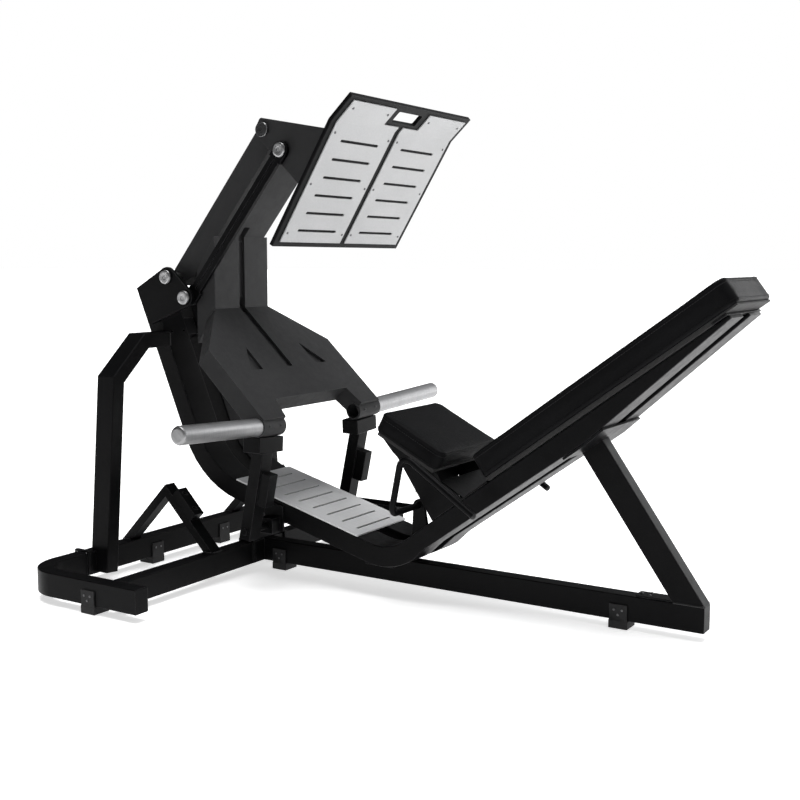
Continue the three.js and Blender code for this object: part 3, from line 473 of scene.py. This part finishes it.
# ---- cushions ----
def outline_points(length, width, corner, inset, spacing):
    """Evenly spaced points round a rounded rectangle in plan, from x 0 to length."""
    r = max(corner - inset, 0.002)
    x0, x1 = inset, length - inset
    y1 = width / 2 - inset
    path = []
    corners = [
        (x1 - r, -y1 + r, -90), (x1 - r, y1 - r, 0), (x0 + r, y1 - r, 90), (x0 + r, -y1 + r, 180),
    ]
    for cx, cy, start in corners:
        for k in range(13):
            a = math.radians(start + 90 * k / 12)
            path.append(Vector((cx + r * math.cos(a), cy + r * math.sin(a), 0)))
    dense = []
    for a, b in zip(path, path[1:] + path[:1]):
        steps = max(1, int((b - a).length / spacing))
        dense.extend(a.lerp(b, k / steps) for k in range(steps))
    return dense


def pad_start(size, corner, inset, top_drop):
    length, width, height = size
    bm = bmesh.new()
    rings = []
    edge = 0.004
    levels = [(0.0, inset + 0.003), (0.003, inset)]
    levels += [(height - top_drop - edge, inset), (height - top_drop - edge * 0.3, inset + edge * 0.3)]
    levels += [(height - top_drop, inset + edge)]
    for z, grow in levels:
        rings.append([bm.verts.new((p.x, p.y, z)) for p in outline_points(length, width, corner, grow, 1.0)])
    for low, high in zip(rings, rings[1:]):
        for k in range(len(low)):
            n = (k + 1) % len(low)
            bm.faces.new((low[k], low[n], high[n], high[k]))
    bm.faces.new(rings[-1])
    bm.faces.new(list(reversed(rings[0])))
    bmesh.ops.recalc_face_normals(bm, faces=bm.faces)
    mesh = bpy.data.meshes.new("pad_start")
    bm.to_mesh(mesh)
    bm.free()
    return mesh


def run_modifier(obj):
    """Replaces the object's mesh by its evaluated one and drops the modifiers."""
    graph = bpy.context.evaluated_depsgraph_get()
    result = bpy.data.meshes.new_from_object(obj.evaluated_get(graph))
    obj.modifiers.clear()
    obj.data = result


def cushion(name, node, size, corner, origin, angle, inset, crown, body):
    """A foam pad under a stretched cover, blown up by cloth pressure and held flat underneath."""
    length, width, height = size
    obj = link_object(name, pad_start(size, corner, inset, TOP_DROP))
    voxel = obj.modifiers.new("voxel", "REMESH")
    voxel.mode = "VOXEL"
    voxel.voxel_size = VOXEL
    run_modifier(obj)
    start = [v.co.copy() for v in obj.data.vertices]
    group = obj.vertex_groups.new(name="held")
    for v in obj.data.vertices:
        low = 1.0 if v.co.z < 0.004 else max(0.0, 0.5 - v.co.z / height)
        if low > 0:
            group.add([v.index], low, "REPLACE")
    cloth = obj.modifiers.new("cover", "CLOTH")
    settings = cloth.settings
    settings.quality = 6
    settings.mass = 0.4
    settings.tension_stiffness = 18
    settings.compression_stiffness = 18
    settings.shear_stiffness = 8
    settings.bending_stiffness = 2.5
    settings.use_pressure = True
    settings.uniform_pressure_force = PRESSURE
    settings.effector_weights.gravity = 0.0
    settings.vertex_group_mass = "held"
    cloth.collision_settings.use_collision = False
    cloth.collision_settings.use_self_collision = False
    cloth.point_cache.frame_start = 1
    cloth.point_cache.frame_end = CLOTH_STEPS
    scene = bpy.context.scene
    for step in range(1, CLOTH_STEPS + 1):
        scene.frame_set(step)
        bpy.context.view_layer.update()
    run_modifier(obj)
    scene.frame_set(1)
    mesh = obj.data
    half_w, half_l = width / 2, length / 2
    for v, s in zip(mesh.vertices, start):
        move = v.co - s
        if move.length > MOVE_CAP:
            move *= MOVE_CAP / move.length
        u = (s.x - half_l) / half_l
        w = s.y / half_w
        rise = max(0.0, 1 - u ** 4) * max(0.0, 1 - w ** 4)
        lift = crown * rise if s.z > height - TOP_DROP - 0.004 else 0.0
        p = s + move * MOVE_SHARE
        p.z += lift
        waist = math.sin(math.pi * min(1.0, max(0.0, s.z / height)))
        if abs(w) > 0.9:
            p.y -= math.copysign(WAIST_IN * waist * (1 - u ** 6), w)
        v.co = Vector((p.x, p.y, max(0.0, p.z)))
    sub = obj.modifiers.new("round", "SUBSURF")
    sub.levels = 1
    sub.render_levels = 1
    run_modifier(obj)
    along, out = slope(angle)
    place = Matrix.Translation(origin) @ Matrix((along, Vector((0, 1, 0)), out)).transposed().to_4x4()
    obj.data.transform(place)
    obj.data.materials.clear()
    obj.data.materials.append(M["leather"])
    obj.data.polygons.foreach_set("use_smooth", [True] * len(obj.data.polygons))
    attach(obj, body)
    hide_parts(node)
    return obj, place


def surface_point(tree, place, p, direction):
    """The cover's surface met from outside a local point, moving in a local direction."""
    start = place @ (p - direction * 0.03)
    hit = tree.ray_cast(start, (place.to_3x3() @ direction).normalized(), 0.08)
    return hit[0]


def seams(name, pad, place, size, corner, body):
    """Welt along the top edge and round the foot of the cover, with a run of stitches under the welt."""
    graph = bpy.context.evaluated_depsgraph_get()
    tree = BVHTree.FromObject(pad, graph)
    length, width, height = size
    bm = bmesh.new()
    for level, radius in ((height - 0.0075, 0.0016), (0.009, 0.0011)):
        path = []
        for p in outline_points(length, width, corner, 0.0, 0.006):
            q = Vector((p.x, p.y, level))
            inner = Vector((min(max(p.x, width / 2), length - width / 2), 0, level))
            hit = surface_point(tree, place, q, (inner - q).normalized())
            if hit is not None:
                path.append(hit)
        tube_along(bm, path, radius, 8, 0, closed=True)
    path = []
    for p in outline_points(length, width, corner, 0.0, 0.0075):
        q = Vector((p.x, p.y, height - 0.0145))
        inner = Vector((min(max(p.x, width / 2), length - width / 2), 0, q.z))
        hit = surface_point(tree, place, q, (inner - q).normalized())
        if hit is not None:
            path.append(hit)
    for a, b in zip(path, path[1:] + path[:1]):
        if (b - a).length > 0.012:
            continue
        tube_along(bm, [a.lerp(b, 0.18), a.lerp(b, 0.5), a.lerp(b, 0.82)], 0.0006, 6, 1)
    return finish_piece(bm, name, body, [M["leather"], M["thread"]])


back_out = slope(BACK_ANGLE)[1]
seat_out = slope(SEAT_ANGLE)[1]
back_origin = BACK_FROM + back_out * (2 * GAP + BOARD_T + GAP)
seat_origin = SEAT_FRONT + seat_out * (-SEAT_PAD[2])
back_pad, back_place = cushion(
    "backrest_cushion", "backrest_pad", BACK_PAD, BACK_CORNER, back_origin, BACK_ANGLE,
    0.0006, 0.0015, "frame")
seat_pad, seat_place = cushion(
    "seat_cushion", "seat_pad", SEAT_PAD, SEAT_CORNER, seat_origin, SEAT_ANGLE,
    -0.0024, 0.0015, "frame")
seams("backrest_seams", back_pad, back_place, BACK_PAD, BACK_CORNER, "frame")
seams("seat_seams", seat_pad, seat_place, SEAT_PAD, SEAT_CORNER, "frame")


# ---- pivot caps ----
def pivot_caps():
    for node_name, (body, (x, z), reach) in PINS.items():
        bm = bmesh.new()
        for side, face in zip((-1, 1), reach):
            at = Vector((x + SHIFT, side * face, z))
            place = Matrix.Translation(at) @ frame_for(Vector((0, side, 0)))
            cap = [
                (0, 0.0002), (0.0198, 0.0002), (0.0198, 0.0016), (0.0186, 0.0024), (0.0166, 0.0025),
                (0.0161, 0.0019), (0.0141, 0.0019), (0.0136, 0.0026), (0.0075, 0.0028), (0.0066, 0.0025),
                (0.0058, 0.0010), (0, 0.0010),
            ]
            revolve(bm, cap, place, 40, 0)
        finish = "lever" if node_name == "carriage_pin" else "pin"
        finish_piece(bm, f"{node_name}_caps", body, [M[finish]])


pivot_caps()


# ---- bolts and screws ----
def bolts():
    down, back = line_axes(PLATE_LOW, PLATE_KINK)
    top, top_back = line_axes(PLATE_KINK, PLATE_TOP)
    bm = bmesh.new()
    for side in (-1, 1):
        for s in (0.044, 0.193, 0.343):
            for y in (0.0225, 0.2755):
                at = PLATE_LOW + down * s - back * (PANEL_OUT - 0.0004) + Vector((0, side * y, 0))
                socket_bolt(bm, at, -back, 0.0036, 0, washer=False)
        for y in (0.106, 0.269):
            at = PLATE_KINK + top * 0.052 - top_back * (PANEL_OUT - 0.0004) + Vector((0, side * y, 0))
            socket_bolt(bm, at, -top_back, 0.0036, 0, washer=False)
    finish_piece(bm, "panel_screws", "foot_carriage", [M["zinc"]])

    bm = bmesh.new()
    for node_name in ("foot_loop_left", "foot_loop_right", "foot_spine_front", "foot_spine_rear"):
        low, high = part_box(node_name)
        outer = node_name != "foot_loop_right"
        y = low.y if outer else high.y
        normal = Vector((0, -1 if outer else 1, 0))
        x = (low.x + high.x) / 2
        face = y if node_name.startswith("foot_loop") else CHEEK_FACE
        for dx, dz in ((-0.011, 0.050), (0.011, 0.050), (0.0, 0.037)):
            socket_bolt(bm, Vector((x + dx, face, dz)), normal, 0.0031, 0, washer=False)
    for node_name in ("foot_front_left", "foot_front_right"):
        low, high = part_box(node_name)
        y = (low.y + high.y) / 2
        for dy, dz in ((-0.011, 0.050), (0.011, 0.050)):
            socket_bolt(bm, Vector((high.x, y + dy, dz)), Vector((1, 0, 0)), 0.0031, 0, washer=False)
    for x, y in ((0.574, 0.0), (0.598, 0.010), (0.598, -0.010)):
        socket_bolt(bm, Vector((x + SHIFT, y, 0.0961)), Vector((0, 0, 1)), 0.0038, 0)
    for side in (-1, 1):
        for y, z in ((-0.019, 0.088), (0.019, 0.088), (-0.019, 0.034), (0.019, 0.034)):
            at = Vector((-0.974 + SHIFT + y, side * 0.44635, z))
            socket_bolt(bm, at, Vector((0, side, 0)), 0.0036, 0, washer=False)
    finish_piece(bm, "frame_bolts", "frame", [M["zinc"]])


bolts()


# ---- weld beads ----
def bead(bm, a, b, radius=0.0026):
    count = max(4, int((b - a).length / 0.0024))
    tube_along(bm, [a.lerp(b, k / count) for k in range(count + 1)], radius, 8, 0, wobble=0.1)


def welds():
    """Beads where the posts, brackets and rear tube stand on the base, and where the posts meet the rails."""
    bm = bmesh.new()
    top = 0.0905
    for side in (-1, 1):
        x0, x1 = -1.0010 + SHIFT, -0.6385 + SHIFT
        for y in (0.2160, 0.2570):
            bead(bm, Vector((x0 + 0.004, side * y, top)), Vector((x0 + 0.036, side * y, top)))
            bead(bm, Vector((x1 - 0.034, side * y, top)), Vector((x1 - 0.004, side * y, top)))
        bead(bm, Vector((x1 + 0.0006, side * 0.218, top)), Vector((x1 + 0.0006, side * 0.255, top)))
        low = Vector((-0.9052 + SHIFT, side * 0.1285, 0.680))
        bead(bm, low, low + Vector((0, 0, 0.038)))
    for y in (-0.0232, 0.0232):
        bead(bm, Vector((0.664 + SHIFT, y, top)), Vector((0.742 + SHIFT, y, top)))
    finish_piece(bm, "weld_beads", "frame", [M["weld"]])


welds()


# ---- rounded plugs in the open ends of the grips ----
def grip_ends():
    bm = bmesh.new()
    axis = Vector((207.5, 0, -138.4)).normalized()
    for side in (-1, 1):
        at = Vector((0.2047 + SHIFT, side * 0.221, 0.2926))
        place = Matrix.Translation(at) @ frame_for(axis)
        plug = [
            (0, -0.004), (0.0088, -0.004), (0.0089, 0.0004), (0.0078, 0.0034), (0.0050, 0.0056), (0, 0.0064),
        ]
        revolve(bm, plug, place, 28, 0)
    finish_piece(bm, "grip_plugs", "release_handle", [M["cap"]])


grip_ends()


def boss_place(side):
    """Centre and outward axis of one horn boss on the fork."""
    along, out = line_axes(FORK_TOP, FORK_END)
    centre = FORK_TOP + along * BOSS_AT[0] + out * BOSS_AT[2] + Vector((0, side * BOSS_AT[1], 0))
    axis = Vector((0, side, 0)) * math.cos(HORN_TILT) + out * math.sin(HORN_TILT)
    return centre, axis


def boss_details():
    bm = bmesh.new()
    for side in (-1, 1):
        centre, axis = boss_place(side)
        normal = (Vector((1, 0, 0.12)) - axis * Vector((1, 0, 0.12)).dot(axis)).normalized()
        for shift in (-0.027, 0.027):
            at = centre + axis * shift + normal * 0.0276
            place = Matrix.Translation(at) @ frame_for(normal)
            ring = [
                (0, 0.0), (0.0042, 0.0), (0.0042, 0.0011), (0.0036, 0.0015), (0.002, 0.0015),
                (0.0016, 0.0003), (0, 0.0003),
            ]
            revolve(bm, ring, place, 20, 0)
    finish_piece(bm, "boss_screws", "lever", [M["cap"]])


boss_details()


# ---- floor, light, camera ----
def pale_floor():
    bm = bmesh.new()
    size = 110.0
    corners = [bm.verts.new((x * size, y * size, -0.0005)) for x, y in ((-1, -1), (1, -1), (1, 1), (-1, 1))]
    bm.faces.new(corners)
    mesh = bpy.data.meshes.new("floor")
    bm.to_mesh(mesh)
    bm.free()
    floor = link_object("floor", mesh)
    mat, bsdf = new_material("floor_white", specular=0.1)
    bsdf.inputs["Base Color"].default_value = (0.93, 0.93, 0.93, 1)
    bsdf.inputs["Roughness"].default_value = 0.9
    bsdf.inputs["Emission Color"].default_value = (1, 1, 1, 1)
    bsdf.inputs["Emission Strength"].default_value = FLOOR_GLOW
    mesh.materials.append(mat)


def area_light(name, at, target, size, power, tint=(1, 1, 1)):
    data = bpy.data.lights.new(name, "AREA")
    data.shape = "RECTANGLE"
    data.size, data.size_y = size
    data.energy = power
    data.color = tint
    lamp = bpy.data.objects.new(name, data)
    bpy.context.scene.collection.objects.link(lamp)
    lamp.location = at
    lamp.visible_camera = False
    lamp.rotation_euler = (Vector(target) - Vector(at)).to_track_quat("-Z", "Y").to_euler()


def sun_light(name, direction, power, angle):
    data = bpy.data.lights.new(name, "SUN")
    data.energy = power
    data.angle = math.radians(angle)
    lamp = bpy.data.objects.new(name, data)
    bpy.context.scene.collection.objects.link(lamp)
    lamp.rotation_euler = Vector(direction).to_track_quat("-Z", "Y").to_euler()


def studio():
    """Broad light from overhead, a bright wall behind on the right and little light from the front."""
    sun_light("overhead", (0, 0, -1), 3.0, 40)
    area_light("wall_back_right", (2.3, 4.3, 1.5), (1.4, 0, 1.1), (4.4, 3.0), 78)
    area_light("softbox_front", (0.6, -4.4, 2.8), (0.0, 0, 0.5), (3.0, 1.6), 4)
    world = bpy.data.worlds.new("studio")
    world.use_nodes = True
    tree = world.node_tree
    tree.nodes.clear()
    out = tree.nodes.new("ShaderNodeOutputWorld")
    mix = tree.nodes.new("ShaderNodeMixShader")
    seen = tree.nodes.new("ShaderNodeBackground")
    seen.inputs["Color"].default_value = (1, 1, 1, 1)
    seen.inputs["Strength"].default_value = 1.0
    soft = tree.nodes.new("ShaderNodeBackground")
    soft.inputs["Color"].default_value = (0.97, 0.98, 1.0, 1)
    coords = tree.nodes.new("ShaderNodeTexCoord")
    facing = tree.nodes.new("ShaderNodeVectorMath")
    facing.operation = "DOT_PRODUCT"
    facing.inputs[1].default_value = (0.62, 0.70, 0.35)
    ramp = tree.nodes.new("ShaderNodeMapRange")
    ramp.interpolation_type = "SMOOTHSTEP"
    for key, value in (("From Min", 0.25), ("From Max", 0.9), ("To Min", 0.04), ("To Max", 0.6)):
        ramp.inputs[key].default_value = value
    tree.links.new(coords.outputs["Generated"], facing.inputs[0])
    tree.links.new(facing.outputs["Value"], ramp.inputs["Value"])
    tree.links.new(ramp.outputs["Result"], soft.inputs["Strength"])
    path = tree.nodes.new("ShaderNodeLightPath")
    tree.links.new(path.outputs["Is Camera Ray"], mix.inputs["Fac"])
    tree.links.new(soft.outputs[0], mix.inputs[1])
    tree.links.new(seen.outputs[0], mix.inputs[2])
    tree.links.new(mix.outputs[0], out.inputs["Surface"])
    bpy.context.scene.world = world


def camera():
    data = bpy.data.cameras.new("view")
    data.sensor_width = SENSOR_WIDTH
    data.lens = FOCAL_PIXELS / IMAGE_WIDTH * SENSOR_WIDTH
    data.clip_end = 300
    cam = bpy.data.objects.new("view", data)
    bpy.context.scene.collection.objects.link(cam)
    cam.location = CAMERA_AT
    cam.rotation_euler = (CAMERA_PITCH, 0, CAMERA_TURN)
    bpy.context.scene.camera = cam


pale_floor()
studio()
camera()
bpy.context.scene.view_settings.view_transform = "Standard"
